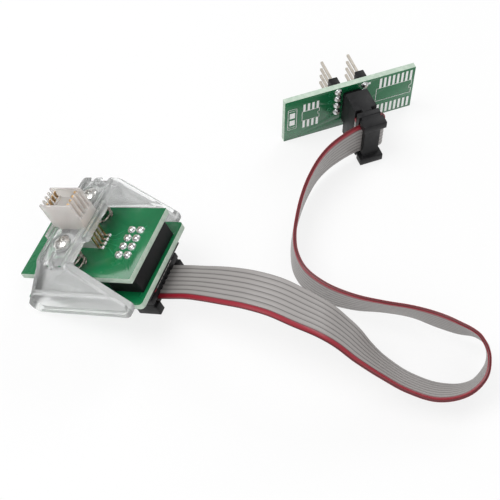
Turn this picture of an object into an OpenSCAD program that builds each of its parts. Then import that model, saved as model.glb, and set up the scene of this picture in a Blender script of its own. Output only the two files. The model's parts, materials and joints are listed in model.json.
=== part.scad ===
// Spring-loaded test clip for an 8-pin small-outline chip, on a two-board stack, with a flat
// ribbon cable and an adapter board at its far end. The clip lies tilted on the table, on the end
// of its base board, and the adapter board stands on its long edge.

/* [Clip pose] */
// Lift of the clip's cable side above the table, in degrees
clip_tilt = 24; // [20:1:28]

/* [Contact board] */
// Length of the contact board, along the cable
contact_board_l = 32.6; // [30:0.2:34]
// Width of the contact board
contact_board_w = 21.6; // [20:0.2:22]
// Thickness of every circuit board
board_t = 1.6; // [1.2:0.1:1.8]
// Distance from the contact axis to the board's cable edge
cable_edge = 16.5; // [16:0.1:18]

/* [Base board] */
// Length of the base board
base_l = 34.2; // [33:0.2:36]
// Width of the base board
base_w = 25.4; // [24:0.1:26]
// How far the base board reaches past the contact board on the cable side
base_overhang = 0.3; // [0:0.1:0.8]
// Corner radius of the base board
base_corner_r = 1.0; // [0.5:0.1:2.5]
// Clear height between the two boards
board_gap = 5.6; // [5:0.1:6.4]

/* [Contacts] */
// Pitch of the chip's leads
contact_pitch = 1.27; // [1.27:0.01:1.3]
// Distance between the inner faces of the two contact rows
contact_span = 6.0; // [5.8:0.1:6.2]
// Width of one contact strip
contact_w = 0.5; // [0.4:0.05:0.6]
// Thickness of one contact strip
contact_t = 0.3; // [0.2:0.05:0.35]
// Height of the contact tips above the contact board
contact_h = 15.5; // [15:0.1:16.5]
// Opening of each contact row at full travel, in degrees
contact_open = 1.2; // [0.6:0.1:1.3]

/* [Sleeve] */
// Length of the head, across the two contact rows
head_l = 9.2; // [9:0.1:9.4]
// Width of the head, along the contact rows
head_w = 5.8; // [5.6:0.1:6.4]
// Height of the head's top above the contact board
head_top = 15.8; // [15.4:0.1:17]
// Depth of the contact slots below the head's top
slot_depth = 5.2; // [4:0.1:6]
// Height of the sleeve's floor above the contact board at rest
floor_z = 6.6; // [6:0.1:7.4]
// Wall of the sleeve's floor and finger wings
sleeve_wall = 1.1; // [1:0.1:1.2]
// Travel of the sleeve toward the boards
sleeve_travel = 2.5; // [2:0.1:2.8]

/* [Finger wings] */
// Half the width of the wings at their top
wing_top_half = 4.4; // [4.2:0.1:4.8]
// Half the width of the wings at their widest
wing_foot_half = 15.1; // [14:0.1:16]
// Height of the wings' bottom edge below the contact board
wing_drop = 9.3; // [8.8:0.1:9.6]
// Clearance between each wing and the lower board at full travel
wing_gap = 0.2; // [0.15:0.05:0.4]
// How far each wing leans outward over its height
wing_splay = 0.7; // [0.5:0.1:1]
// Width of the raised rim along the wings' edges
rim_w = 1.1; // [0.8:0.1:1.3]
// Height of the rim above the wing's face
rim_h = 0.8; // [0.6:0.1:1]

/* [Guide screws and springs] */
// Distance from the contact axis to each guide screw
screw_y = 7.4; // [6.8:0.1:7.6]
// Thread radius of the guide screws
screw_r = 1.0; // [0.9:0.05:1.1]
// Radius of the screw heads
screw_head_r = 2.0; // [1.8:0.1:2.2]
// Height of the screw heads
screw_head_h = 1.5; // [1.2:0.1:1.7]
// Running clearance of the sleeve on the screws, on the radius
guide_clearance = 0.1; // [0.05:0.01:0.1]
// Wire diameter of the return springs
spring_wire = 0.6; // [0.5:0.05:0.65]
// Mean radius of the spring coils
spring_r = 2.2; // [2:0.1:2.3]
// Number of coils
spring_turns = 4.5; // [4:0.5:5]

/* [Plugs and headers] */
// Pitch of the pin headers and plugs
pin_pitch = 2.54; // [2.54:0.01:2.54]
// Width of the square header pins
pin_w = 0.64; // [0.6:0.01:0.66]
// Distance from the contact axis to the box header's centre
header_x = 11.2; // [11:0.1:11.6]
// Length of the box header
box_l = 17.8; // [17.4:0.1:18.2]
// Width of the box header
box_w = 8.9; // [8.7:0.1:9.1]
// Height of the box header
box_h = 9.1; // [8.9:0.1:9.3]
// Play of a ribbon plug in its header, on each side
plug_play = 0.2; // [0.1:0.05:0.3]
// Height of a ribbon plug's socket body
plug_body_h = 6.3; // [6:0.1:6.8]
// How far the near plug stands off the bottom of its header
near_gap = 1.2; // [0.6:0.1:1.4]
// Thickness of a ribbon plug's cover
plug_cover_h = 1.6; // [1.4:0.1:1.9]
// Depth of a ribbon plug's strain relief
plug_relief_h = 2.8; // [2.5:0.1:3]

/* [Ribbon cable] */
// Number of wires in the ribbon
ribbon_wires = 8; // [8:1:8]
// Thickness of the ribbon
ribbon_t = 0.9; // [0.8:0.05:1]

/* [Adapter board] */
// Length of the adapter board
adapter_l = 37.5; // [37:0.1:40]
// Height of the adapter board as it stands
adapter_w = 15.2; // [15:0.1:16]
// Distance from the adapter board's end to its first pin row
dip_a = 15.1; // [14.6:0.1:15.4]
// Distance between the adapter's two pin rows
dip_row = 7.62; // [7.62:0.01:7.62]
// Length of the adapter's pins past their carriers
dip_pin_l = 7.4; // [6:0.1:8]

/* [Hidden] */

$fn = 48;
fit = 0.05;              // clearance between pieces that are pushed together
pin_rows = 4;            // pins along a plug
pins_span = (pin_rows - 1) * pin_pitch;
contact_n = 4;           // contacts in a row
row_ys = [for (i = [0 : contact_n - 1]) (i - (contact_n - 1) / 2) * contact_pitch];
pin_ys = [for (i = [0 : pin_rows - 1]) (i - (pin_rows - 1) / 2) * pin_pitch];

// heights in the clip's own frame: zero is the top of the contact board, on the contact axis
base_top = -board_t - board_gap;
base_bottom = base_top - board_t;
floor_top = floor_z + sleeve_wall;
base_far_x = cable_edge + base_overhang - base_l;   // end of the base board away from the cable

// box header and near plug, hanging below the contact board
box_floor = 2.5;
box_wall = 1.2;
plug_l = box_l - 2 * (box_wall + plug_play);
plug_w = box_w - 2 * (box_wall + plug_play);
box_bottom = -board_t - box_h;
mating_z = -board_t - box_floor - near_gap;
plug_layer = ribbon_t + fit;
plug_total = plug_body_h + plug_cover_h + 2 * plug_layer + plug_relief_h;
key_w = 4.0;             // polarising key on the plug's side
key_t = 1.0;

// the clip's place: its lowest edge is on the table, and the row frame's origin is below the
// middle of its box, between the contact board's far edge and the near plug's corner
board_far_x = cable_edge - contact_board_l;
box_lo_x = board_far_x * cos(clip_tilt);
box_hi_x = (header_x + plug_w / 2) * cos(clip_tilt) + (plug_total - mating_z) * sin(clip_tilt);
clip_x = -(box_lo_x + box_hi_x) / 2;
clip_z = -min(
    base_far_x * sin(clip_tilt) + base_bottom * cos(clip_tilt),
    (header_x - plug_w / 2) * sin(clip_tilt) + (mating_z - plug_total) * cos(clip_tilt)
);

// the adapter board's place on the table, and the way that it faces
adapter_x = 25.8;
adapter_y = 57.5;
adapter_turn = 41;
far_plug_a = dip_a + dip_row / 2 + 0.15;   // far plug's centre along the board
far_plug_h = 7.8;        // and above the table
header_base = 2.54;      // height of a pin header's plastic

pcb_green = [0.05, 0.45, 0.25];
clear_plastic = [0.86, 0.88, 0.86];
black_plastic = [0.10, 0.10, 0.10];

// the ribbon's route: centre of each section, and the turn of its width about its path, in
// degrees, where zero lies flat and ninety stands on edge
layer_2_mid = plug_body_h + plug_layer + plug_cover_h + fit / 2 + ribbon_t / 2;
near_exit_x = header_x + plug_w / 2;
near_exit_z = mating_z - layer_2_mid;
near_exit = [
    clip_x + near_exit_x * cos(clip_tilt) - near_exit_z * sin(clip_tilt), 0,
    clip_z + near_exit_x * sin(clip_tilt) + near_exit_z * cos(clip_tilt), 0
];
far_exit_a = far_plug_a - plug_w / 2;
far_exit_m = header_base + fit + layer_2_mid;
far_exit = [
    adapter_x + far_exit_a * cos(adapter_turn) + far_exit_m * sin(adapter_turn),
    adapter_y + far_exit_a * sin(adapter_turn) - far_exit_m * cos(adapter_turn), far_plug_h, 90
];
ribbon_points = concat([near_exit], [
    [22, 0, 10.5, 0], [27.5, -0.5, 13.5, -4], [33, -1, 16, -8], [38.5, -1.5, 18, -8],
    [44.5, -2, 19, -6], [51, -3, 19, 0], [57, -3.5, 18, 8], [62, -4, 15.5, 18],
    [67, -5, 12.5, 27], [72, -5.5, 9.5, 33], [78, -5.5, 6.5, 35], [84.5, -4.5, 4.5, 37],
    [90, -2, 4.3, 48], [93.3, 1.8, 5.2, 68], [93.8, 6.2, 7, 93], [92, 9.8, 8.3, 114],
    [88.8, 11.4, 8.5, 116], [84.5, 12, 7.8, 108], [79.5, 12.6, 7.2, 106],
    [73.5, 13, 6.7, 110], [67, 12.4, 6.1, 110], [60, 11.5, 5.6, 104], [53, 11.8, 5.3, 98],
    [47, 13.8, 5.3, 94], [43, 17.5, 5.4, 90], [40.6, 22.5, 5.5, 88], [39.2, 28, 5.8, 86],
    [38.4, 34, 6.1, 86], [38.3, 40, 6.6, 86], [39.1, 46.4, 7.1, 86], [41.4, 52.4, 7.6, 88]
], [far_exit]);
ribbon_w = ribbon_wires * 1.27;

module in_clip() translate([clip_x, 0, clip_z]) rotate([0, -clip_tilt, 0]) children();

module in_adapter() translate([adapter_x, adapter_y, 0]) rotate([0, 0, adapter_turn])
    rotate([90, 0, 0]) children();

// near plug's frame: mating face at zero, cable end up the z axis
module in_near_plug() in_clip() translate([header_x, 0, mating_z]) rotate([180, 0, 0]) children();

// far plug's frame, standing out of the adapter board's face
module in_far_plug() in_adapter()
    translate([far_plug_a, far_plug_h, header_base + fit]) rotate([0, 0, 180]) children();

module plate(l, w, t) translate([-l / 2, -w / 2, 0]) cube([l, w, t]);

// points of an arc from one angle to another
function arc(cx, cy, r, a0, a1, n = 6) =
    [for (i = [0 : n]) [cx + r * cos(a0 + (a1 - a0) * i / n), cy + r * sin(a0 + (a1 - a0) * i / n)]];

function round_box(x0, y0, x1, y1, r) = concat(
    arc(x1 - r, y0 + r, r, -90, 0), arc(x1 - r, y1 - r, r, 0, 90),
    arc(x0 + r, y1 - r, r, 90, 180), arc(x0 + r, y0 + r, r, 180, 270)
);

// ---- contact board and base board -------------------------------------------------------------

module contact_board() in_clip() color(pcb_green) difference() {
    translate([board_far_x, -contact_board_w / 2, -board_t])
        cube([contact_board_l, contact_board_w, board_t]);
    for (s = [-1, 1]) translate([0, s * screw_y, -board_t - 1])
        cylinder(r = screw_r + 0.05, h = board_t + 2);
    header_pins_at() translate([0, 0, -board_t - 1]) cylinder(r = 0.5, h = board_t + 2, $fn = 24);
}

module header_pins_at() for (sx = [-1, 1], y = pin_ys)
    translate([header_x + sx * pin_pitch / 2, y, 0]) children();

module base_board() in_clip() color(pcb_green) translate([0, 0, base_bottom]) difference() {
    linear_extrude(board_t) polygon(round_box(
        base_far_x, -base_w / 2, base_far_x + base_l, base_w / 2, base_corner_r));
    translate([header_x, 0, -1]) plate(box_w + 2 * fit, box_l + 2 * fit, board_t + 2);
    for (s = [-1, 1]) translate([0, s * screw_y, -1])
        cylinder(r = screw_r + 0.05, h = board_t + 2);
}

// ---- guide screws, spacers, nuts and springs ---------------------------------------------------

nut_r = 2.3 * screw_r;
nut_h = 1.6 * screw_r;
spacer_r = 1.9 * screw_r;
screw_end = base_bottom - 1.5 * nut_h;
head_ball = 1.6 * screw_head_r;      // radius of the screw heads' rounded top

module board_spacers() in_clip() color("silver") for (s = [-1, 1])
    translate([0, s * screw_y, base_top]) difference() {
        cylinder(r = spacer_r, h = board_gap);
        translate([0, 0, -1]) cylinder(r = screw_r + 0.05, h = board_gap + 2);
    }

module guide_screws() in_clip() color("gainsboro") for (s = [-1, 1])
    translate([0, s * screw_y, 0]) difference() {
        union() {
            translate([0, 0, screw_end]) cylinder(r = screw_r, h = floor_top - screw_end + 0.1);
            translate([0, 0, floor_top]) intersection() {
                cylinder(r = screw_head_r, h = screw_head_h);
                translate([0, 0, screw_head_h - head_ball]) sphere(r = head_ball, $fn = 64);
            }
        }
        // cross recess
        for (a = [0, 90]) rotate([0, 0, a + 30])
            translate([-0.6 * screw_head_r, -0.3, floor_top + 0.3 * screw_head_h])
                cube([1.2 * screw_head_r, 0.6, screw_head_h]);
    }

module lock_nuts() in_clip() color("silver") for (s = [-1, 1])
    translate([0, s * screw_y, base_bottom - nut_h]) difference() {
        intersection() {
            cylinder(r = nut_r, h = nut_h, $fn = 6);
            // chamfered corners
            rotate_extrude() polygon([[0, 0], [0.88 * nut_r, 0], [nut_r, 0.25 * nut_h],
                [nut_r, 0.75 * nut_h], [0.88 * nut_r, nut_h], [0, nut_h]]);
        }
        translate([0, 0, -1]) cylinder(r = screw_r + 0.02, h = nut_h + 2);
    }

// one coil spring with closed ends, from the board to the sleeve's floor
spring_h = floor_z - 2 * 0.05;
spring_steps = 14;       // rings in one turn
spring_sides = 8;
function spring_rise(t) =    // height of the wire's centre after t turns
    let (e = 0.75, free = spring_turns - 2 * e, climb = spring_wire * 1.02,
         low = spring_wire / 2 + climb * min(t, e),
         mid = (spring_h - spring_wire - 2 * climb * e) * max(0, min(1, (t - e) / free)),
         high = climb * max(0, t - (spring_turns - e)))
    low + mid + high;

module spring(s) {
    n = spring_steps * spring_turns;
    points = [for (i = [0 : n], k = [0 : spring_sides - 1])
        let (a = 360 * i / spring_steps, b = 360 * k / spring_sides,
             r = spring_r + spring_wire / 2 * cos(b))
        [r * cos(a), r * sin(a), spring_rise(i / spring_steps) + spring_wire / 2 * sin(b)]];
    faces = concat(
        [[for (k = [0 : spring_sides - 1]) k]],
        [for (i = [0 : n - 1], k = [0 : spring_sides - 1])
            let (a = i * spring_sides, k2 = (k + 1) % spring_sides)
            [a + k, a + spring_sides + k, a + spring_sides + k2, a + k2]],
        [[for (k = [spring_sides - 1 : -1 : 0]) n * spring_sides + k]]
    );
    in_clip() color("lightgray") translate([0, s * screw_y, 0.05]) polyhedron(points, faces);
}

module spring_near() spring(-1);
module spring_far() spring(1);

// ---- contacts ----------------------------------------------------------------------------------

contact_x = contact_span / 2;        // inner face of a contact row
foot_t = 0.25;
foot_l = 1.3;
core_half = contact_x - 0.35;        // the core stands clear inside the two rows
core_w = 4.3;
core_h = contact_h - 1.6;            // the chip's body sinks this far between the tips

module contact_core() in_clip() color("wheat") difference() {
    translate([0, 0, 0]) plate(2 * core_half, core_w, core_h);
    // seat for the chip's body, and a locating groove between the contact rows
    translate([0, 0, core_h - 0.5]) plate(2 * core_half - 1.2, core_w + 2, 2);
}

module contact_feet() in_clip() color("goldenrod") for (s = [-1, 1], y = row_ys)
    translate([s > 0 ? contact_x : -contact_x - foot_l, y - contact_w / 2, 0])
        cube([foot_l, contact_w, foot_t]);

module contact_solder() in_clip() color("silver") for (s = [-1, 1], y = row_ys)
    translate([s * (contact_x + foot_l), y, 0]) difference() {
        intersection() {
            sphere(r = 0.55, $fn = 24);
            plate(2, 2, 1);
        }
        translate([s > 0 ? -2 : 0, -contact_w / 2, -1]) cube([2, contact_w, foot_t + 1]);
    }

// one row of strips, each with a hooked tip that bears on the chip's lead
module contact_row(s) {
    root = foot_t + 0.05;
    in_clip() color("peru") mirror([s > 0 ? 0 : 1, 0, 0]) for (y = row_ys)
        translate([0, y + contact_w / 2, 0]) rotate([90, 0, 0]) linear_extrude(contact_w) polygon([
            [contact_x, root], [contact_x + contact_t, root],
            [contact_x + contact_t, contact_h - 2.2], [contact_x + contact_t + 0.25, contact_h - 1.5],
            [contact_x + contact_t + 0.1, contact_h - 0.4], [contact_x - 0.05, contact_h],
            [contact_x - 0.25, contact_h - 0.25], [contact_x - 0.05, contact_h - 0.6],
            [contact_x + 0.1, contact_h - 1.3], [contact_x, contact_h - 2.2]
        ]);
}

module contact_row_left() contact_row(-1);
module contact_row_right() contact_row(1);

// ---- sleeve: probe head and finger yoke --------------------------------------------------------

slot_w = contact_w + 0.3;
cavity_half = contact_x + contact_t + 0.2;
cavity_w = 2 * row_ys[contact_n - 1] + slot_w;

module probe_head() in_clip() color(clear_plastic) difference() {
    translate([0, 0, floor_top]) plate(head_l, head_w, head_top - floor_top);
    // the well that the contacts and their core stand in
    translate([0, 0, floor_top - 1]) plate(2 * cavity_half, cavity_w, head_top);
    // open slots in both long walls, one for each contact
    for (y = row_ys) translate([0, y, head_top - slot_depth])
        plate(head_l + 2, slot_w, slot_depth + 1);
    // lead-in at the mouth
    translate([0, 0, head_top - 0.5]) plate(2 * cavity_half + 0.8, cavity_w + 0.4, 1);
}

shoulder_r = 1.8;
leg_top = floor_top - shoulder_r;
// outer face of each wing at the shoulder, set by the lower board at full travel
wing_y = base_w / 2 + wing_gap + sleeve_wall
    - wing_splay * (leg_top - base_top - sleeve_travel) / (leg_top + wing_drop);
leg_foot_y = wing_y + wing_splay;

// section of the yoke across its two wings, grown outward by g
function yoke_section(g) = concat(
    [[-leg_foot_y - g, -wing_drop]],
    arc(-wing_y + shoulder_r, leg_top, shoulder_r + g, 180, 90, 8),
    arc(wing_y - shoulder_r, leg_top, shoulder_r + g, 90, 0, 8),
    [[leg_foot_y + g, -wing_drop], [leg_foot_y - sleeve_wall, -wing_drop]],
    arc(wing_y - shoulder_r, leg_top, shoulder_r - sleeve_wall, 0, 90, 8),
    arc(-wing_y + shoulder_r, leg_top, shoulder_r - sleeve_wall, 90, 180, 8),
    [[-leg_foot_y + sleeve_wall, -wing_drop]]
);

// outline of a wing seen from the side, drawn in by g
function wing_outline(g) = let (
    r = 2.6 - g / 2, top = wing_top_half - g, half = wing_foot_half - g, low = -wing_drop + g,
    wide = low + r + 0.6
) concat(
    [[top, floor_top + 6], [top, floor_top - 0.4], [half, wide]],
    arc(half - r, low + r, r, 0, -90),
    arc(-half + r, low + r, r, -90, -180),
    [[-half, wide], [-top, floor_top - 0.4], [-top, floor_top + 6]]
);

module yoke_slab(g) translate([-20, 0, 0]) rotate([90, 0, 90]) linear_extrude(40)
    polygon(yoke_section(g));

module side_prism(g) translate([0, 20, 0]) rotate([90, 0, 0]) linear_extrude(40)
    polygon(wing_outline(g));

bar_z = -3.2;            // grip bar across each wing
bar_t = 1.4;
web_t = 0.7;
web_x = -0.5;             // web between the two windows of each shoulder
window_xs = [-2.1, 1.1];
window_l = 1.9;
window_h = 1.4;
tongue_half = 6.0;       // the floor reaches past the wings' tops under the head
tongue_w = 11.4;
seat_gap = 0.05;         // round the head in its seat

module finger_yoke() in_clip() color(clear_plastic) difference() {
    union() {
        intersection() {
            yoke_slab(0);
            side_prism(0);
        }
        // raised rim along the edges of the floor and both wings
        intersection() {
            yoke_slab(rim_h);
            difference() {
                side_prism(0);
                side_prism(rim_w);
            }
        }
        // grip bar
        intersection() {
            yoke_slab(rim_h - 0.2);
            side_prism(0.4);
            translate([-20, -20, bar_z]) cube([40, 40, bar_t]);
        }
        // shoulder web from each screw boss out over the wing
        intersection() {
            yoke_slab(rim_h);
            translate([web_x - web_t / 2, -20, floor_z]) cube([web_t, 40, 8]);
            difference() {
                translate([-10, -20, 0]) cube([20, 40, 20]);
                translate([-10, -screw_y - 2, 0]) cube([20, 2 * screw_y + 4, 20]);
            }
        }
        // tongue of the floor under the head, with a rim on its ends
        translate([0, 0, floor_z]) plate(2 * tongue_half, tongue_w, sleeve_wall);
        for (s = [-1, 1]) translate([s * (tongue_half - rim_w / 2), 0, floor_z])
            plate(rim_w, tongue_w, sleeve_wall + rim_h);
        // bosses round the screw heads
        for (s = [-1, 1]) translate([0, s * screw_y, floor_top - 0.2])
            cylinder(r = screw_head_r + 0.9, h = 0.9);
    }
    // bores on the guide screws, and the heads' seats
    for (s = [-1, 1]) translate([0, s * screw_y, floor_z - 3]) {
        cylinder(r = screw_r + guide_clearance, h = 10);
        translate([0, 0, floor_top - floor_z + 3]) cylinder(r = screw_head_r + 0.25, h = 5);
    }
    // seat of the probe head, through the rims
    translate([0, 0, floor_top]) plate(head_l + 2 * seat_gap, head_w + 2 * seat_gap, 5);
    // well for the contacts
    translate([0, 0, floor_z - 1]) plate(2 * cavity_half, cavity_w, 4);
    // two windows in each shoulder
    for (s = [-1, 1], x = window_xs) translate([x, s * wing_y, leg_top - 0.4])
        plate(window_l, 5, window_h);
}

// ---- box header --------------------------------------------------------------------------------

module box_header() in_clip() color(black_plastic) translate([header_x, 0, box_bottom])
    difference() {
        plate(box_w, box_l, box_h);
        translate([0, 0, -1]) plate(box_w - 2 * box_wall, box_l - 2 * box_wall,
            box_h - box_floor + 1);
        // keyway
        translate([-box_w / 2 - 3, -key_w / 2 - plug_play, -1])
            cube([4 + box_wall, key_w + 2 * plug_play, box_h - box_floor + 1]);
        for (sx = [-1, 1], y = pin_ys) translate([sx * pin_pitch / 2, y, 0])
            plate(pin_w + 2 * fit, pin_w + 2 * fit, box_h + 1);
    }

module box_header_pins() in_clip() color("gold") header_pins_at()
    translate([0, 0, box_bottom + 0.8]) plate(pin_w, pin_w, 0.9 - box_bottom - 0.8);

module solder_dome() difference() {
    intersection() {
        translate([0, 0, -0.35]) sphere(r = 1.15, $fn = 32);
        plate(3, 3, 2);
    }
    translate([0, 0, -1]) plate(pin_w, pin_w, 4);
}

module box_header_solder() in_clip() color("silver") header_pins_at() solder_dome();

// ---- ribbon plugs ------------------------------------------------------------------------------

layer_1 = plug_body_h;                       // ribbon in the plug's teeth
cover_z = layer_1 + plug_layer;
layer_2 = cover_z + plug_cover_h;            // ribbon folded back over the cover
relief_z = layer_2 + plug_layer;

module plug_socket() color(black_plastic) difference() {
    union() {
        plate(plug_w, plug_l, plug_body_h);
        // key
        translate([-plug_w / 2 - key_t, -key_w / 2, 0])
            cube([key_t + 0.2, key_w, plug_body_h - 1.6]);
        // latch ears that the cover snaps on
        for (s = [-1, 1]) translate([0, s * (plug_l / 2 - 0.7), plug_body_h])
            plate(2.6, 1.4, plug_layer);
    }
    for (sx = [-1, 1], y = pin_ys) translate([sx * pin_pitch / 2, y, -1]) {
        plate(pin_w + 0.3, pin_w + 0.3, plug_body_h + 0.4);
        plate(1.5, 1.5, 1.4);
    }
}

module plug_cover() color([0.13, 0.13, 0.13]) translate([0, 0, cover_z]) difference() {
    plate(plug_w, plug_l, plug_cover_h);
    // thumb grooves on both flanks
    for (s = [-1, 1], y = [-3 : 1.5 : 3]) translate([s * plug_w / 2, y, 0.5])
        plate(0.5, 0.7, plug_cover_h);
}

module plug_relief() color([0.08, 0.08, 0.08]) {
    bar_w = 4.4;
    translate([0, 0, relief_z]) {
        plate(bar_w, plug_l, plug_relief_h - 1.2);
        for (s = [-1, 1]) translate([0, s * (plug_l / 2 - 1.1), 0])
            plate(plug_w + 0.3, 2.2, plug_relief_h);
    }
    // hooks beside the ribbon, down to the cover
    for (s = [-1, 1]) translate([0, s * (plug_l / 2 - 0.75), layer_2])
        plate(plug_w - 1, 1.5, plug_layer);
}

// the ribbon inside a plug: through the teeth, round the cover's edge and back over it
module ribbon_fold() color("darkgray") {
    mid = (layer_1 + relief_z) / 2;
    outer = (relief_z - layer_1) / 2 - fit / 2;
    translate([0, ribbon_w / 2, 0]) rotate([90, 0, 0]) linear_extrude(ribbon_w) {
        translate([-plug_w / 2, layer_1 + fit / 2]) square([plug_w, ribbon_t]);
        translate([-plug_w / 2, relief_z - fit / 2 - ribbon_t]) square([plug_w, ribbon_t]);
        intersection() {
            translate([-plug_w / 2, mid]) difference() {
                circle(r = outer);
                circle(r = outer - ribbon_t);
            }
            translate([-plug_w / 2 - 5, mid - 5]) square([5, 10]);
        }
    }
}

module near_plug_socket() in_near_plug() plug_socket();
module near_plug_cover() in_near_plug() plug_cover();
module near_plug_relief() in_near_plug() plug_relief();
module near_ribbon_fold() in_near_plug() ribbon_fold();

module far_plug_socket() in_far_plug() plug_socket();
module far_plug_cover() in_far_plug() plug_cover();
module far_plug_relief() in_far_plug() plug_relief();
module far_ribbon_fold() in_far_plug() ribbon_fold();

// ---- ribbon cable ------------------------------------------------------------------------------

// the path's direction where it leaves the near plug and where it enters the far plug
near_way = [cos(clip_tilt), 0, sin(clip_tilt), 0];
far_way = [cos(adapter_turn), sin(adapter_turn), 0, 0];
ribbon_before = near_exit - 6 * near_way;
ribbon_after = far_exit + 6 * far_way;
ribbon_steps = 2;        // rings from one route point to the next

function smooth(a, b, c, d, t) = 0.5 * (2 * b + (c - a) * t + (2 * a - 5 * b + 4 * c - d) * t * t
    + (3 * b - a - 3 * c + d) * t * t * t);

ribbon_route = let (p = concat([ribbon_before], ribbon_points, [ribbon_after]), n = len(p)) concat(
    [for (i = [1 : n - 3], k = [0 : ribbon_steps - 1])
        smooth(p[i - 1], p[i], p[i + 1], p[i + 2], k / ribbon_steps)],
    [p[n - 2]]
);

module ribbon_cable() color("darkgray") ribbon_sweep(ribbon_route);

function unit(v) = v / norm(v);
function place(p) = [p[0], p[1], p[2]];

// eight-sided section of the ribbon, wider than it is thick
ribbon_section = let (w = ribbon_w / 2, t = ribbon_t / 2, c = ribbon_t / 4)
    [[w, -c], [w, c], [w - c, t], [-w + c, t], [-w, c], [-w, -c], [-w + c, -t], [w - c, -t]];

module ribbon_sweep(route) {
    n = len(route);
    function along(i) = i == 0 ? place(near_way) : i == n - 1 ? place(far_way)
        : unit(place(route[i + 1]) - place(route[i - 1]));
    points = [for (i = [0 : n - 1], p = ribbon_section)
        let (t = along(i), flat = unit(cross(t, [0, 0, 1])), up = cross(flat, t),
             wide = flat * cos(route[i][3]) + up * sin(route[i][3]),
             thick = cross(wide, t))
        place(route[i]) + wide * p[0] + thick * p[1]];
    m = len(ribbon_section);
    polyhedron(points, concat(
        [[for (k = [0 : m - 1]) k]],
        [for (i = [0 : n - 2], k = [0 : m - 1])
            [i * m + k, (i + 1) * m + k, (i + 1) * m + (k + 1) % m, i * m + (k + 1) % m]],
        [[for (k = [m - 1 : -1 : 0]) (n - 1) * m + k]]
    ));
}

// ---- adapter board -----------------------------------------------------------------------------

dip_hs = [for (i = [0 : 3]) 6.2 + i * pin_pitch];       // heights of the rear pins
header_hs = [for (y = pin_ys) far_plug_h + y];

module dip_at(row) for (h = dip_hs) translate([dip_a + row * dip_row, h, 0]) children();

module front_pins_at() for (sx = [-1, 1], h = header_hs)
    translate([far_plug_a + sx * pin_pitch / 2, h, 0]) children();

module adapter_board() in_adapter() color(pcb_green) difference() {
    translate([0, 0, -board_t]) cube([adapter_l, adapter_w, board_t]);
    for (row = [0, 1]) dip_at(row) translate([0, 0, -board_t - 1])
        cylinder(r = 0.5, h = board_t + 2, $fn = 24);
    front_pins_at() translate([0, 0, -board_t - 1]) cylinder(r = 0.5, h = board_t + 2, $fn = 24);
}

module adapter_header() in_adapter() color(black_plastic)
    translate([far_plug_a, far_plug_h, 0]) difference() {
        plate(2 * pin_pitch, pin_rows * pin_pitch, header_base);
        for (sx = [-1, 1], y = pin_ys) translate([sx * pin_pitch / 2, y, -1])
            plate(pin_w + 2 * fit, pin_w + 2 * fit, header_base + 2);
    }

module adapter_header_pins() in_adapter() color("gold") front_pins_at()
    translate([0, 0, -board_t - 0.9]) plate(pin_w, pin_w, board_t + 0.9 + header_base + 4.8);

module rear_carrier(row) in_adapter() color(black_plastic)
    translate([dip_a + row * dip_row, dip_hs[0] + pins_span / 2, -board_t - header_base])
        difference() {
            plate(2.5, pin_rows * pin_pitch, header_base);
            for (y = pin_ys) translate([0, y, -1])
                plate(pin_w + 2 * fit, pin_w + 2 * fit, header_base + 2);
        }

module rear_carrier_left() rear_carrier(0);
module rear_carrier_right() rear_carrier(1);

module rear_pins(row) in_adapter() color("gold") dip_at(row)
    translate([0, 0, -board_t - header_base - dip_pin_l])
        plate(pin_w, pin_w, board_t + header_base + dip_pin_l + 0.9);

module rear_pins_left() rear_pins(0);
module rear_pins_right() rear_pins(1);

module adapter_solder() in_adapter() color("silver") {
    for (row = [0, 1]) dip_at(row) solder_dome();
    translate([0, 0, -board_t]) front_pins_at() rotate([0, 180, 0]) solder_dome();
}

pad_t = 0.05;

// two rows of pads for a chip of the given pin count, row distance and pad length
module pads(n, a, h, rows, l) in_adapter() color("lightgray") for (i = [0 : n - 1], s = [-1, 1])
    translate([a + (i - (n - 1) / 2) * 1.27, h + s * rows / 2, 0]) plate(0.65, l, pad_t);

module wide_pads() pads(8, 31.9, 7.5, 10.2, 3.6);
module narrow_pads() pads(4, 7.45, 8.15, 6.4, 2.7);

contact_board();
base_board();
board_spacers();
guide_screws();
lock_nuts();
spring_near();
spring_far();
contact_core();
contact_feet();
contact_solder();
contact_row_left();
contact_row_right();
probe_head();
finger_yoke();
box_header();
box_header_pins();
box_header_solder();
near_plug_socket();
near_plug_cover();
near_plug_relief();
near_ribbon_fold();
ribbon_cable();
far_plug_socket();
far_plug_cover();
far_plug_relief();
far_ribbon_fold();
adapter_board();
adapter_header();
adapter_header_pins();
rear_carrier_left();
rear_carrier_right();
rear_pins_left();
rear_pins_right();
adapter_solder();
wide_pads();
narrow_pads();
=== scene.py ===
import bpy
import bmesh
import json
import math
from mathutils import Matrix, Vector

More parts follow.
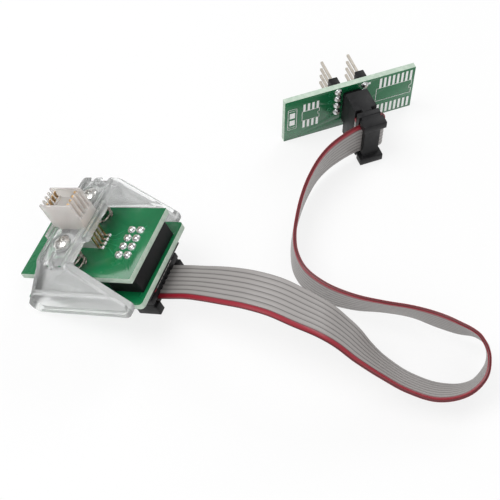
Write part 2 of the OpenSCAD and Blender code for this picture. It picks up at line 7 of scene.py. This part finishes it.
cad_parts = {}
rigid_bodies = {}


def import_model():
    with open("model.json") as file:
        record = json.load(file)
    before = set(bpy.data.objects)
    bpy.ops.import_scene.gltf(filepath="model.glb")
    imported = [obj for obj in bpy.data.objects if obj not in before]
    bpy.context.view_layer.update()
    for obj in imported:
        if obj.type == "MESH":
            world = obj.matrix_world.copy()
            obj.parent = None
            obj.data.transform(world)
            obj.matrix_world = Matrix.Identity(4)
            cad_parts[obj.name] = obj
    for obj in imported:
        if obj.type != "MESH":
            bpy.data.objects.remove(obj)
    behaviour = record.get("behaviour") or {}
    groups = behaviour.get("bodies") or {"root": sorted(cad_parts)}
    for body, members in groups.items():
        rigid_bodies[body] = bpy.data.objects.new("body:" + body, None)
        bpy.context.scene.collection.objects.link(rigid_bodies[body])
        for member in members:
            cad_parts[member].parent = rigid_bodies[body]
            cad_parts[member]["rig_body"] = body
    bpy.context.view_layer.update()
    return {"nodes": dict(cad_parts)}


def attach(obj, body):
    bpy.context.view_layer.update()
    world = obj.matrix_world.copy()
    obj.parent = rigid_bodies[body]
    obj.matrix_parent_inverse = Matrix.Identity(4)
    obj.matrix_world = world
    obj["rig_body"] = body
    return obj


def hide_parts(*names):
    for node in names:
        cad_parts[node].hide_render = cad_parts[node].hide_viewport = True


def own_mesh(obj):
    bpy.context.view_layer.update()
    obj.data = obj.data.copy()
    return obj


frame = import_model()
nodes = frame["nodes"]
mm = 0.001

# places of the clip, the two plugs and the adapter board, as in the part's source
clip = {"x": -2.795, "z": 15.116, "tilt": 24}
plug = {"headerX": 11.2, "matingZ": -5.3, "w": 6.1, "body": 6.3, "cover": 1.6,
        "layer": 0.95, "gap": 0.025}
adapter = {"x": 25.8, "y": 57.5, "turn": 41, "plugA": 19.06, "plugH": 7.8, "plugM": 2.59}

clipPlace = Matrix.Translation((clip["x"], 0, clip["z"])) @ Matrix.Rotation(
    math.radians(-clip["tilt"]), 4, "Y")
adapterPlace = (Matrix.Translation((adapter["x"], adapter["y"], 0))
                @ Matrix.Rotation(math.radians(adapter["turn"]), 4, "Z")
                @ Matrix.Rotation(math.radians(90), 4, "X"))
nearPlace = (clipPlace @ Matrix.Translation((plug["headerX"], 0, plug["matingZ"]))
             @ Matrix.Rotation(math.radians(180), 4, "X"))
farPlace = (adapterPlace
            @ Matrix.Translation((adapter["plugA"], adapter["plugH"], adapter["plugM"]))
            @ Matrix.Rotation(math.radians(180), 4, "Z"))


def pickOnly(obj):
    bpy.ops.object.select_all(action="DESELECT")
    obj.select_set(True)
    bpy.context.view_layer.objects.active = obj


# camera, at the angle from which the object is usually shown
camera = {"place": (0.089005, -0.13828, 0.242286), "turn": (35, 0, 20.45), "lens": 84.05,
          "sensor": 36, "near": 0.01, "far": 10}
bpy.ops.object.camera_add(location=camera["place"],
                          rotation=[math.radians(a) for a in camera["turn"]])
cam = bpy.context.active_object
cam.name = "camera"
cam.data.lens = camera["lens"]
cam.data.sensor_width = camera["sensor"]
cam.data.clip_start = camera["near"]
cam.data.clip_end = camera["far"]
bpy.context.scene.camera = cam
bpy.context.scene.view_settings.view_transform = "Standard"
print("camera placed")


def newMaterial(name, settings):
    mat = bpy.data.materials.new(name)
    mat.use_nodes = True
    shader = mat.node_tree.nodes["Principled BSDF"]
    for socket, value in settings.items():
        shader.inputs[socket].default_value = value
    return mat, shader


def addNoise(mat, scale, detail):
    tree = mat.node_tree
    coords = tree.nodes.new("ShaderNodeTexCoord")
    noise = tree.nodes.new("ShaderNodeTexNoise")
    noise.inputs["Scale"].default_value = scale
    noise.inputs["Detail"].default_value = detail
    tree.links.new(coords.outputs["Object"], noise.inputs["Vector"])
    return noise.outputs["Fac"]


def addRamp(mat, factor, stops, target):
    tree = mat.node_tree
    ramp = tree.nodes.new("ShaderNodeValToRGB")
    band = ramp.color_ramp
    band.elements[0].position, band.elements[0].color = stops[0]
    band.elements[1].position, band.elements[1].color = stops[-1]
    for position, colour in stops[1:-1]:
        band.elements.new(position).color = colour
    tree.links.new(factor, ramp.inputs["Fac"])
    if target is not None:
        tree.links.new(ramp.outputs["Color"], target)
    return ramp.outputs["Color"]


def addBump(mat, height, strength, distance):
    tree = mat.node_tree
    bump = tree.nodes.new("ShaderNodeBump")
    bump.inputs["Strength"].default_value = strength
    bump.inputs["Distance"].default_value = distance
    tree.links.new(height, bump.inputs["Height"])
    tree.links.new(bump.outputs["Normal"], tree.nodes["Principled BSDF"].inputs["Normal"])


def grey(level):
    return (level, level, level, 1)


def variedFinish(name, dark, light, roughness, scale, bump=0.15, depth=0.00002, **settings):
    # colour and sheen that vary a little over the piece, with a fine surface grain
    mat, shader = newMaterial(name, settings)
    broad = addNoise(mat, scale, 4)
    addRamp(mat, broad, [(0.3, dark), (0.7, light)], shader.inputs["Base Color"])
    addRamp(mat, broad, [(0.3, grey(roughness[0])), (0.7, grey(roughness[1]))],
            shader.inputs["Roughness"])
    fine = addNoise(mat, scale * 9, 2)
    addBump(mat, fine, bump, depth)
    return mat


blackPlastic = variedFinish("blackPlastic", (0.006, 0.006, 0.007, 1), (0.013, 0.013, 0.014, 1),
                            (0.42, 0.56), 700, 0.35, 0.00003,
                            **{"Specular IOR Level": 0.25})
blackCover = variedFinish("blackCover", (0.007, 0.007, 0.008, 1), (0.016, 0.016, 0.017, 1),
                          (0.4, 0.55), 900, 0.4, 0.00003, **{"Specular IOR Level": 0.25})
screwSteel = variedFinish("screwSteel", (0.62, 0.61, 0.59, 1), (0.8, 0.79, 0.77, 1),
                          (0.2, 0.34), 900, 0.1, 0.00001, Metallic=1.0)
springSteel = variedFinish("springSteel", (0.3, 0.27, 0.24, 1), (0.46, 0.42, 0.37, 1),
                           (0.2, 0.3), 1200, 0.1, 0.00001, Metallic=1.0)
solderTin = variedFinish("solderTin", (0.55, 0.55, 0.56, 1), (0.9, 0.9, 0.9, 1),
                         (0.14, 0.38), 1100, 0.5, 0.00006, Metallic=1.0)
padTin = variedFinish("padTin", (0.78, 0.79, 0.78, 1), (0.9, 0.9, 0.89, 1),
                      (0.28, 0.42), 1100, 0.2, 0.00002, Metallic=0.6)
pinPlate = variedFinish("pinPlate", (0.42, 0.38, 0.33, 1), (0.56, 0.52, 0.46, 1),
                        (0.34, 0.46), 900, 0.1, 0.00001, Metallic=0.5)
contactCopper = variedFinish("contactCopper", (0.62, 0.4, 0.2, 1), (0.8, 0.56, 0.3, 1),
                             (0.24, 0.38), 800, 0.1, 0.00001, Metallic=1.0)
boardEdge = variedFinish("boardEdge", (0.42, 0.54, 0.44, 1), (0.58, 0.68, 0.58, 1),
                         (0.55, 0.7), 900, 0.4, 0.00003)
boardGreen = variedFinish("boardGreen", (0.003, 0.135, 0.045, 1), (0.006, 0.18, 0.062, 1),
                          (0.22, 0.3), 120, 0.06, 0.00002,
                          **{"Coat Weight": 0.15, "Coat Roughness": 0.12})
traceGreen = variedFinish("traceGreen", (0.008, 0.2, 0.08, 1), (0.012, 0.25, 0.1, 1),
                          (0.25, 0.35), 300, 0.06, 0.00001)
whiteInk = variedFinish("whiteInk", (0.72, 0.76, 0.72, 1), (0.86, 0.88, 0.85, 1),
                        (0.5, 0.65), 1500, 0.3, 0.00001)


clearLook = {"bend": 1.3, "cloud": 260, "grain": 500, "bump": 0.12, "depth": 0.00005}


def clearPlastic(name, colour, roughness, haze):
    mat, shader = newMaterial(name, {
        "Base Color": colour, "IOR": clearLook["bend"], "Transmission Weight": 1.0 - haze})
    cloud = addNoise(mat, clearLook["cloud"], 3)
    addRamp(mat, cloud, [(0.3, grey(roughness[0])), (0.7, grey(roughness[1]))],
            shader.inputs["Roughness"])
    addBump(mat, addNoise(mat, clearLook["grain"], 2), clearLook["bump"], clearLook["depth"])
    return mat


yokeClear = clearPlastic("yokeClear", (0.975, 0.985, 0.98, 1), (0.14, 0.26), 0.22)
headClear = clearPlastic("headClear", (0.985, 0.95, 0.93, 1), (0.14, 0.26), 0.36)

ribbon = {"width": 10.16, "length": 192, "wires": 8, "crown": 0.9, "groove": 0.62,
          "round": 0.92, "rim": 0.25, "perWire": 6, "steps": 6, "lead": 6, "endTurn": 90}


def ribbonFinish(name):
    # grey jacket with the first wire in red, and painted shading that darkens the grooves between
    # wires and leaves each wire's crown lighter
    mat, shader = newMaterial(name, {"Roughness": 0.42, "Coat Weight": 0.08})
    tree, links = mat.node_tree.nodes, mat.node_tree.links
    uv = tree.new("ShaderNodeUVMap")
    uv.uv_map = "wires"
    split = tree.new("ShaderNodeSeparateXYZ")
    links.new(uv.outputs["UV"], split.inputs["Vector"])
    edge = 1 / ribbon["wires"]  # where the first wire ends
    jacket = addRamp(mat, split.outputs["X"], [
        (0.0, (0.3, 0.008, 0.02, 1)), (edge - 0.015, (0.34, 0.012, 0.03, 1)),
        (edge + 0.02, (0.36, 0.34, 0.33, 1)), (1.0, (0.36, 0.34, 0.33, 1))], None)
    wires = tree.new("ShaderNodeMath")
    wires.operation = "MULTIPLY"
    wires.inputs[1].default_value = ribbon["wires"]
    links.new(split.outputs["X"], wires.inputs[0])
    wire = tree.new("ShaderNodeMath")
    wire.operation = "FRACT"
    links.new(wires.outputs[0], wire.inputs[0])
    # painted shading: dark at each groove between wires, lightest on the wire's crown
    paintedGrooveShade = addRamp(mat, wire.outputs[0], [
        (0.0, grey(0.3)), (0.14, grey(0.85)), (0.5, grey(1.0)), (0.86, grey(0.85)),
        (1.0, grey(0.3))], None)
    # the painted shading is multiplied into the jacket's colour
    mix = tree.new("ShaderNodeMix")
    mix.data_type = "RGBA"
    mix.blend_type = "MULTIPLY"
    mix.inputs["Factor"].default_value = 1.0
    links.new(jacket, mix.inputs["A"])
    links.new(paintedGrooveShade, mix.inputs["B"])
    links.new(mix.outputs["Result"], shader.inputs["Base Color"])
    addBump(mat, addNoise(mat, 1400, 2), 0.12, 0.00002)
    return mat


ribbonGrey = ribbonFinish("ribbonGrey")
print("finishes made")


# the ribbon's route in millimetres, with its lean in degrees
routePoints = [
    (22, 0, 10.5, 0), (27.5, -0.5, 13.5, -4), (33, -1, 16, -8), (38.5, -1.5, 18, -8),
    (44.5, -2, 19, -6), (51, -3, 19, 0), (57, -3.5, 18, 8), (62, -4, 15.5, 18),
    (67, -5, 12.5, 27), (72, -5.5, 9.5, 33), (78, -5.5, 6.5, 35), (84.5, -4.5, 4.5, 37),
    (90, -2, 4.3, 48), (93.3, 1.8, 5.2, 68), (93.8, 6.2, 7, 93), (92, 9.8, 8.3, 114),
    (88.8, 11.4, 8.5, 116), (84.5, 12, 7.8, 108), (79.5, 12.6, 7.2, 106),
    (73.5, 13, 6.7, 110), (67, 12.4, 6.1, 110), (60, 11.5, 5.6, 104), (53, 11.8, 5.3, 98),
    (47, 13.8, 5.3, 94), (43, 17.5, 5.4, 90), (40.6, 22.5, 5.5, 88), (39.2, 28, 5.8, 86),
    (38.4, 34, 6.1, 86), (38.3, 40, 6.6, 86), (39.1, 46.4, 7.1, 86), (41.4, 52.4, 7.6, 88)]
layerMid = plug["body"] + plug["layer"] + plug["cover"] + plug["gap"] + ribbon["crown"] / 2
nearExit = nearPlace @ Vector((plug["w"] / 2, 0, layerMid))
farExit = farPlace @ Vector((plug["w"] / 2, 0, layerMid))
nearWay = nearPlace.to_3x3() @ Vector((1, 0, 0))
farWay = farPlace.to_3x3() @ Vector((-1, 0, 0))


def smoothRoute(points, before, after, steps):
    p = [before] + points + [after]
    out = []
    for i in range(1, len(p) - 2):
        for k in range(steps):
            t = k / steps
            out.append([0.5 * (2 * b + (c - a) * t + (2 * a - 5 * b + 4 * c - d) * t * t
                               + (3 * b - a - 3 * c + d) * t ** 3)
                        for a, b, c, d in zip(p[i - 1], p[i], p[i + 1], p[i + 2])])
    return out + [list(p[-2])]


def ribbonSection():
    # (across, half thickness) from the first wire's edge to the last wire's
    pitch = ribbon["width"] / ribbon["wires"]
    line = []
    for w in range(ribbon["wires"]):
        for k in range(ribbon["perWire"] + 1):
            if w and not k:
                continue
            t = 2 * k / ribbon["perWire"] - 1
            crown = math.sqrt(max(0, 1 - (t * ribbon["round"]) ** 2))
            low = ribbon["groove"] / ribbon["crown"]
            edge = (w == 0 and k == 0) or (w == ribbon["wires"] - 1 and k == ribbon["perWire"])
            half = ribbon["crown"] / 2 * (ribbon["rim"] if edge else low + (1 - low) * crown)
            line.append((ribbon["width"] / 2 - pitch * (w + k / ribbon["perWire"]), half))
    return line


def ribbonBand(name, rings, body, capStart, capEnd):
    # rings are (centre, unit vector toward the first wire, unit normal), in millimetres
    section = ribbonSection()
    mesh = bmesh.new()
    uvLayer = mesh.loops.layers.uv.new("wires")
    top, low, runs, run = [], [], [], 0
    for i, (centre, wide, thick) in enumerate(rings):
        if i:
            run += (centre - rings[i - 1][0]).length
        runs.append(run / ribbon["width"])
        top.append([mesh.verts.new((centre + wide * a + thick * h) * mm) for a, h in section])
        low.append([mesh.verts.new((centre + wide * a - thick * h) * mm) for a, h in section])
    across = [0.5 - a / ribbon["width"] for a, h in section]

    def face(corners):
        made = mesh.faces.new([v for v, u in corners])
        for loop, (v, u) in zip(made.loops, corners):
            loop[uvLayer].uv = u

    n = len(section)
    for i in range(len(rings) - 1):
        for k in range(n - 1):
            a, b = across[k], across[k + 1]
            face([(top[i][k], (a, runs[i])), (top[i][k + 1], (b, runs[i])),
                  (top[i + 1][k + 1], (b, runs[i + 1])), (top[i + 1][k], (a, runs[i + 1]))])
            face([(low[i][k], (a, runs[i])), (low[i + 1][k], (a, runs[i + 1])),
                  (low[i + 1][k + 1], (b, runs[i + 1])), (low[i][k + 1], (b, runs[i]))])
        for k in (0, n - 1):
            a = across[k]
            corners = [(top[i][k], (a, runs[i])), (top[i + 1][k], (a, runs[i + 1])),
                       (low[i + 1][k], (a, runs[i + 1])), (low[i][k], (a, runs[i]))]
            face(corners if k == 0 else corners[::-1])
    for i, wanted in ((0, capStart), (len(rings) - 1, capEnd)):
        if wanted:
            for k in range(n - 1):
                a, b = across[k], across[k + 1]
                face([(top[i][k], (a, runs[i])), (top[i][k + 1], (b, runs[i])),
                      (low[i][k + 1], (b, runs[i])), (low[i][k], (a, runs[i]))])
    bmesh.ops.recalc_face_normals(mesh, faces=mesh.faces)
    data = bpy.data.meshes.new(name)
    mesh.to_mesh(data)
    mesh.free()
    piece = bpy.data.objects.new(name, data)
    bpy.context.scene.collection.objects.link(piece)
    pickOnly(piece)
    bpy.ops.object.shade_smooth_by_angle(angle=math.radians(40))
    piece.data.materials.append(ribbonGrey)
    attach(piece, body)
    return piece


start = list(nearExit) + [0]
end = list(farExit) + [ribbon["endTurn"]]
beforeStart = [a - ribbon["lead"] * b for a, b in zip(start, list(nearWay) + [0])]
afterEnd = [a + ribbon["lead"] * b for a, b in zip(end, list(farWay) + [0])]
line = smoothRoute([start] + [list(p) for p in routePoints] + [end], beforeStart, afterEnd,
                   ribbon["steps"])
ribbonRings = []
for i, p in enumerate(line):
    if i == 0:
        way = nearWay
    elif i == len(line) - 1:
        way = farWay
    else:
        way = (Vector(line[i + 1][:3]) - Vector(line[i - 1][:3])).normalized()
    flat = way.cross(Vector((0, 0, 1))).normalized()
    up = flat.cross(way)
    turn = math.radians(p[3])
    wide = flat * math.cos(turn) + up * math.sin(turn)
    ribbonRings.append((Vector(p[:3]), wide, wide.cross(way)))
ribbonPath = [ring[0] * mm for ring in ribbonRings]
ribbonLength = sum((b - a).length for a, b in zip(ribbonPath, ribbonPath[1:]))
ribbonBandPiece = ribbonBand("ribbonBand", ribbonRings, "clip_base", False, False)
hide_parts("ribbon_cable")
print("ribbon laid,", round(ribbonLength, 4), "m")


fold = {"insideX": (1.5, 0, -1.5), "overX": (-1.5, 0, 1.5), "steps": 12, "tuck": 0.05}


def foldRings(place, redSide):
    # in through the plug's blades, round the cover's edge and back over it
    inner = plug["body"] + plug["gap"] + ribbon["crown"] / 2
    middle = (inner + layerMid) / 2
    radius = (layerMid - inner) / 2
    path = [(Vector((plug["w"] / 2 - fold["tuck"], 0, inner)), Vector((-1, 0, 0)))]
    path += [(Vector((x, 0, inner)), Vector((-1, 0, 0))) for x in fold["insideX"]]
    for k in range(fold["steps"] + 1):
        a = math.pi * k / fold["steps"]
        out, up = math.sin(a), math.cos(a)
        path.append((Vector((-plug["w"] / 2 - radius * out, 0, middle - radius * up)),
                     Vector((-up, 0, out))))
    path += [(Vector((x, 0, layerMid)), Vector((1, 0, 0)))
             for x in fold["overX"] + (plug["w"] / 2,)]
    turn = place.to_3x3()
    rings = []
    for centre, way in path:
        wide = Vector((0, redSide, 0))
        rings.append((place @ centre, turn @ wide, turn @ wide.cross(way)))
    return rings


nearFold = ribbonBand("nearFold", foldRings(nearPlace, 1), "clip_base", True, False)
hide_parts("near_ribbon_fold")
farFold = ribbonBand("farFold", foldRings(farPlace, -1), "clip_base", True, False)
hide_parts("far_ribbon_fold")
print("ribbon folds made")


easingRule = {"segments": 2, "sharpest": 35, "flatWithin": 0.5, "merge": 0.000001}


def easedCopy(nodeName, pieceName, finish, easing, smooth=40):
    # a CAD node's shape as a clean mesh of its own, with its sharp edges rounded
    source = nodes[nodeName]
    piece = bpy.data.objects.new(pieceName, source.data.copy())
    bpy.context.scene.collection.objects.link(piece)
    pickOnly(piece)
    bpy.ops.object.mode_set(mode="EDIT")
    bpy.ops.mesh.select_all(action="SELECT")
    bpy.ops.mesh.remove_doubles(threshold=easingRule["merge"])
    bpy.ops.mesh.dissolve_limited(angle_limit=math.radians(easingRule["flatWithin"]))
    bpy.ops.object.mode_set(mode="OBJECT")
    if easing:
        edge = piece.modifiers.new("easedEdges", "BEVEL")
        edge.width = easing * mm
        edge.segments = easingRule["segments"]
        edge.limit_method = "ANGLE"
        edge.angle_limit = math.radians(easingRule["sharpest"])
        edge.use_clamp_overlap = True
        bpy.ops.object.modifier_apply(modifier=edge.name)
    bpy.ops.object.shade_smooth_by_angle(angle=math.radians(smooth))
    piece.data.materials.clear()
    piece.data.materials.append(finish)
    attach(piece, source["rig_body"])
    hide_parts(nodeName)
    return piece


easedPieces = {
    "box_header": ("boxHeader", blackPlastic, 0.12),
    "near_plug_socket": ("nearSocket", blackPlastic, 0.12),
    "near_plug_cover": ("nearCover", blackCover, 0.1),
    "near_plug_relief": ("nearRelief", blackPlastic, 0.16),
    "far_plug_socket": ("farSocket", blackPlastic, 0.12),
    "far_plug_cover": ("farCover", blackCover, 0.1),
    "far_plug_relief": ("farRelief", blackPlastic, 0.16),
    "adapter_header": ("adapterHeader", blackPlastic, 0.12),
    "rear_carrier_left": ("rearCarrierLeft", blackPlastic, 0.15),
    "rear_carrier_right": ("rearCarrierRight", blackPlastic, 0.15),
    "contact_board": ("contactBoard", boardGreen, 0.05),
    "base_board": ("baseBoard", boardGreen, 0.05),
    "adapter_board": ("adapterBoard", boardGreen, 0.05),
    "probe_head": ("probeHead", headClear, 0.1),
    "finger_yoke": ("fingerYoke", yokeClear, 0.12),
    "guide_screws": ("guideScrews", screwSteel, 0.06),
    "lock_nuts": ("lockNuts", screwSteel, 0.08),
    "contact_row_left": ("contactRowLeft", contactCopper, 0.03),
    "contact_row_right": ("contactRowRight", contactCopper, 0.03),
    "contact_core": ("contactCore", headClear, 0.08),
}
eased = {}
for nodeName, (pieceName, finish, easing) in easedPieces.items():
    eased[nodeName] = easedCopy(nodeName, pieceName, finish, easing)


def paleEdges(piece, faceWay):
    # a board's cut edges and bores show the bare laminate
    piece.data.materials.append(boardEdge)
    for face in piece.data.polygons:
        if abs(face.normal.dot(faceWay)) < 0.5:
            face.material_index = 1


clipUp = clipPlace.to_3x3() @ Vector((0, 0, 1))
adapterOut = adapterPlace.to_3x3() @ Vector((0, 0, 1))
paleEdges(eased["contact_board"], clipUp)
paleEdges(eased["base_board"], clipUp)
paleEdges(eased["adapter_board"], adapterOut)
print("eased pieces made")

# the springs as rounded copies of the CAD coils; on the real clip they close up as the sleeve is
# pressed
for nodeName, pieceName, side in (("spring_near", "coilNear", -1), ("spring_far", "coilFar", 1)):
    coil = easedCopy(nodeName, pieceName, springSteel, 0, smooth=60)
    pickOnly(coil)
    rounder = coil.modifiers.new("rounder", "SUBSURF")
    rounder.levels = rounder.render_levels = 1
    bpy.ops.object.modifier_apply(modifier=rounder.name)
    bpy.ops.object.shade_smooth()
    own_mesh(coil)
print("springs made")

smallPieces = {
    "board_spacers": ("boardSpacers", screwSteel), "contact_feet": ("contactFeet", pinPlate),
    "contact_solder": ("contactSolder", solderTin), "box_header_pins": ("boxPins", pinPlate),
    "box_header_solder": ("boxSolder", solderTin), "adapter_header_pins": ("adapterPins", pinPlate),
    "rear_pins_left": ("rearPinsLeft", pinPlate), "rear_pins_right": ("rearPinsRight", pinPlate),
    "adapter_solder": ("adapterSolder", solderTin), "wide_pads": ("widePads", padTin),
    "narrow_pads": ("narrowPads", padTin),
}
for nodeName, (pieceName, finish) in smallPieces.items():
    eased[nodeName] = easedCopy(nodeName, pieceName, finish, 0)
print("small pieces made")


lift = 0.01  # flat marks start this far above a board's face


def thickMarks(name, made, height, finish):
    # the flat marks as one piece, closed all round
    bpy.ops.object.select_all(action="DESELECT")
    for mark in made:
        mark.select_set(True)
    bpy.context.view_layer.objects.active = made[0]
    bpy.ops.object.join()
    piece = bpy.context.active_object
    piece.name = name
    thick = piece.modifiers.new("thickness", "SOLIDIFY")
    thick.thickness = height * mm
    thick.offset = 1
    bpy.ops.object.modifier_apply(modifier=thick.name)
    piece.data.materials.append(finish)
    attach(piece, "clip_base")
    return piece


def strips(name, place, lines, height, finish):
    # each line is (x, y, x, y, width) on the board's face
    made = []
    for ax, ay, bx, by, width in lines:
        bpy.ops.mesh.primitive_plane_add(size=1)
        strip = bpy.context.active_object
        length = math.hypot(bx - ax, by - ay) + width
        strip.data.transform(
            Matrix.Scale(mm, 4) @ place @ Matrix.Translation(((ax + bx) / 2, (ay + by) / 2, lift))
            @ Matrix.Rotation(math.atan2(by - ay, bx - ax), 4, "Z")
            @ Matrix.Diagonal((length, width, 1, 1)))
        made.append(strip)
    return thickMarks(name, made, height, finish)


def boxLines(x0, y0, x1, y1, width):
    return [(x0, y0, x1, y0, width), (x1, y0, x1, y1, width), (x1, y1, x0, y1, width),
            (x0, y1, x0, y0, width)]


def chipLines(x0, y0, x1, y1, width, notch):
    # a chip's outline, with the notch in the end away from the header
    mid = (y0 + y1) / 2
    return [(x0, y0, x1, y0, width), (x1, y1, x0, y1, width), (x0, y1, x0, y0, width),
            (x1, y0, x1, mid - notch, width), (x1, mid - notch, x1 - notch, mid - notch, width),
            (x1 - notch, mid - notch, x1 - notch, mid + notch, width),
            (x1 - notch, mid + notch, x1, mid + notch, width), (x1, mid + notch, x1, y1, width)]


outlines = {"line": 0.16, "ink": 0.03, "widePart": (26.4, 5.8, 36.8, 10.7), "wideNotch": 0.6,
            "narrowPart": (5.0, 6.4, 9.9, 9.95), "narrowNotch": 0.45,
            "smallPart": (0.95, 4.2, 3.4, 11.95), "barIn": 0.7, "barShort": 0.35}
inkLines = chipLines(*outlines["widePart"], outlines["line"], outlines["wideNotch"])
inkLines += chipLines(*outlines["narrowPart"], outlines["line"], outlines["narrowNotch"])
inkLines += boxLines(*outlines["smallPart"], outlines["line"])
smallPart = outlines["smallPart"]
for y in (smallPart[1] + outlines["barIn"], smallPart[3] - outlines["barIn"]):
    inkLines.append((smallPart[0] + outlines["barShort"], y, smallPart[2] - outlines["barShort"], y,
                     outlines["line"]))
adapterInk = strips("adapterInk", adapterPlace, inkLines, outlines["ink"], whiteInk)

lands = {"height": 0.04, "smallPart": [(2.17, 9.2, 2.17, 9.75, 1.5), (2.17, 6.5, 2.17, 6.95, 1.5)],
         "topEdge": [(22.05, 14.15, 22.35, 14.15, 0.7), (23.75, 13.9, 24.05, 13.9, 0.7)]}
adapterLands = strips("adapterLands", adapterPlace, lands["smallPart"] + lands["topEdge"],
                      lands["height"], padTin)

# plated holes beside the header's joints, each a ring standing just proud of the board
holes = {"x": 12.87, "y": (5.25, 8.0, 10.75, 13.5), "radius": 0.65, "rim": 0.22, "proud": 0.03}
rings = []
for y in holes["y"]:
    bpy.ops.mesh.primitive_circle_add(vertices=24, radius=holes["radius"], fill_type="NGON")
    ring = bpy.context.active_object
    bpy.ops.object.mode_set(mode="EDIT")
    bpy.ops.mesh.select_all(action="SELECT")
    bpy.ops.mesh.inset(thickness=holes["rim"])
    bpy.ops.mesh.delete(type="FACE")  # the inset leaves the middle selected
    bpy.ops.object.mode_set(mode="OBJECT")
    ring.data.transform(Matrix.Scale(mm, 4) @ adapterPlace
                        @ Matrix.Translation((holes["x"], y, lift)))
    rings.append(ring)
adapterHoles = thickMarks("adapterHoles", rings, holes["proud"], traceGreen)

traces = {"footX": 5.0, "headerX": (9.93, 12.47), "headerY": (-3.81, -1.27, 1.27, 3.81),
          "footY": (-1.905, -0.635, 0.635, 1.905), "line": 0.3, "height": 0.03,
          "straight": 1.0, "bend": 1.6, "aside": 1.25, "past": 1.2, "farX": (-9.0, -4.6),
          "farSpread": (1.4, 1.3)}
traceLines = []
for footY, headerY in zip(traces["footY"], traces["headerY"]):
    turnX = traces["footX"] + traces["straight"]
    bendX = traces["headerX"][0] - traces["bend"]
    aside = headerY + math.copysign(traces["aside"], headerY)
    pastX = traces["headerX"][1] + traces["past"]
    for ends in ((traces["footX"], footY, turnX, footY), (turnX, footY, bendX, headerY),
                 (bendX, headerY, traces["headerX"][0], headerY),
                 (traces["farX"][0], aside * traces["farSpread"][0],
                  traces["farX"][1], footY * traces["farSpread"][1]),
                 (traces["headerX"][1], headerY, pastX, aside)):
        traceLines.append(ends + (traces["line"],))
strips("contactTraces", clipPlace, traceLines, traces["height"], traceGreen)
print("printed lines made")
floorLook = {"size": 6, "colour": (0.9, 0.9, 0.9, 1), "roughness": 0.9, "glow": 0.8}
worldLook = {"onObject": 0.42, "seen": 1.0}


def eitherRay(tree, *rays):
    # 1 where any of the named kinds of ray is the one that sees the surface
    path = tree.nodes.new("ShaderNodeLightPath")
    found = path.outputs[rays[0]]
    for ray in rays[1:]:
        either = tree.nodes.new("ShaderNodeMath")
        either.operation = "MAXIMUM"
        tree.links.new(found, either.inputs[0])
        tree.links.new(path.outputs[ray], either.inputs[1])
        found = either.outputs[0]
    return found


bpy.ops.mesh.primitive_plane_add(size=floorLook["size"], location=(0, 0, 0))
floor = bpy.context.active_object
floor.name = "floor"
floorMat, shader = newMaterial("floorWhite", {
    "Base Color": floorLook["colour"], "Roughness": floorLook["roughness"],
    "Specular IOR Level": 0.0})
tree, links = floorMat.node_tree, floorMat.node_tree.links
glow = tree.nodes.new("ShaderNodeEmission")
part = tree.nodes.new("ShaderNodeMath")
part.operation = "MULTIPLY"
part.inputs[1].default_value = floorLook["glow"]
mix = tree.nodes.new("ShaderNodeMixShader")
links.new(eitherRay(tree, "Is Camera Ray", "Is Glossy Ray", "Is Transmission Ray"), part.inputs[0])
links.new(part.outputs[0], mix.inputs["Fac"])
links.new(shader.outputs["BSDF"], mix.inputs[1])
links.new(glow.outputs["Emission"], mix.inputs[2])
links.new(mix.outputs["Shader"], tree.nodes["Material Output"].inputs["Surface"])
floor.data.materials.append(floorMat)

world = bpy.data.worlds.new("studio")
bpy.context.scene.world = world
world.use_nodes = True
tree, links = world.node_tree, world.node_tree.links
background = tree.nodes["Background"]
background.inputs["Color"].default_value = (1, 1, 1, 1)
background.inputs["Strength"].default_value = worldLook["onObject"]
white = tree.nodes.new("ShaderNodeBackground")
white.inputs["Strength"].default_value = worldLook["seen"]
mix = tree.nodes.new("ShaderNodeMixShader")
links.new(eitherRay(tree, "Is Camera Ray", "Is Transmission Ray"), mix.inputs["Fac"])
links.new(background.outputs["Background"], mix.inputs[1])
links.new(white.outputs["Background"], mix.inputs[2])
links.new(mix.outputs["Shader"], tree.nodes["World Output"].inputs["Surface"])

lamps = {
    "keyLamp": {"place": (-0.25, -0.1, 0.6), "size": 0.4, "power": 2.6},
    "fillLamp": {"place": (0.45, -0.45, 0.4), "size": 0.5, "power": 1.2},
    "backLamp": {"place": (0.1, 0.55, 0.4), "size": 0.3, "power": 1.0},
}
aim = Vector((0.03, 0.02, 0.01))
for name, lamp in lamps.items():
    bpy.ops.object.light_add(type="AREA", location=lamp["place"])
    light = bpy.context.active_object
    light.name = name
    light.data.size = lamp["size"]
    light.data.energy = lamp["power"]
    light.rotation_euler = (aim - Vector(lamp["place"])).to_track_quat("-Z", "Y").to_euler()
print("floor and lamps placed")
